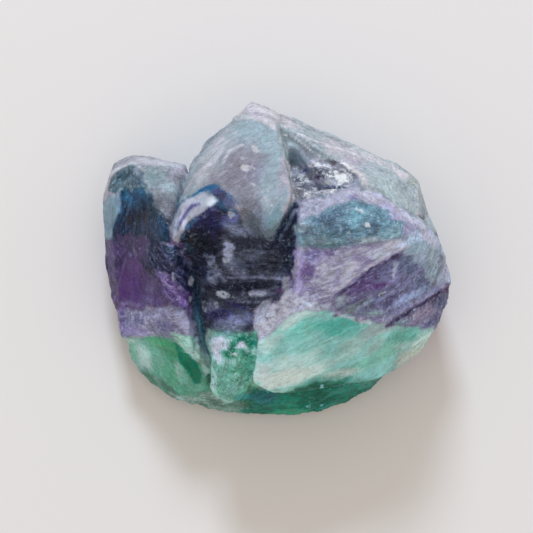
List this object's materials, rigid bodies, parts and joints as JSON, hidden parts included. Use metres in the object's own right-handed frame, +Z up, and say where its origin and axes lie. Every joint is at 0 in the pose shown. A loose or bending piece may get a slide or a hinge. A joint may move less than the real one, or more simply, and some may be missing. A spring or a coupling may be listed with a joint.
{
  "type": "rough fluorite chunk",
  "caption": "Rough broken chunk of banded green, purple and blue rainbow fluorite with a pointed peak, a dark hollow and a flat cleavage base.",
  "frame": {"origin": "centre of the bounding box at the level of the flat base", "axes": "+Z up from the flat base, +Y towards the pale pointed peak end, +X towards the broad front lobe's right end"},
  "size_m": [0.055, 0.05, 0.038],
  "materials": {
    "fluorite": "frosted translucent stone, banded pale blue, navy, purple and green, with white bruises"
  },
  "bodies": {
    "root": {"fluorite": "fluorite"}
  },
  "joints": []
}
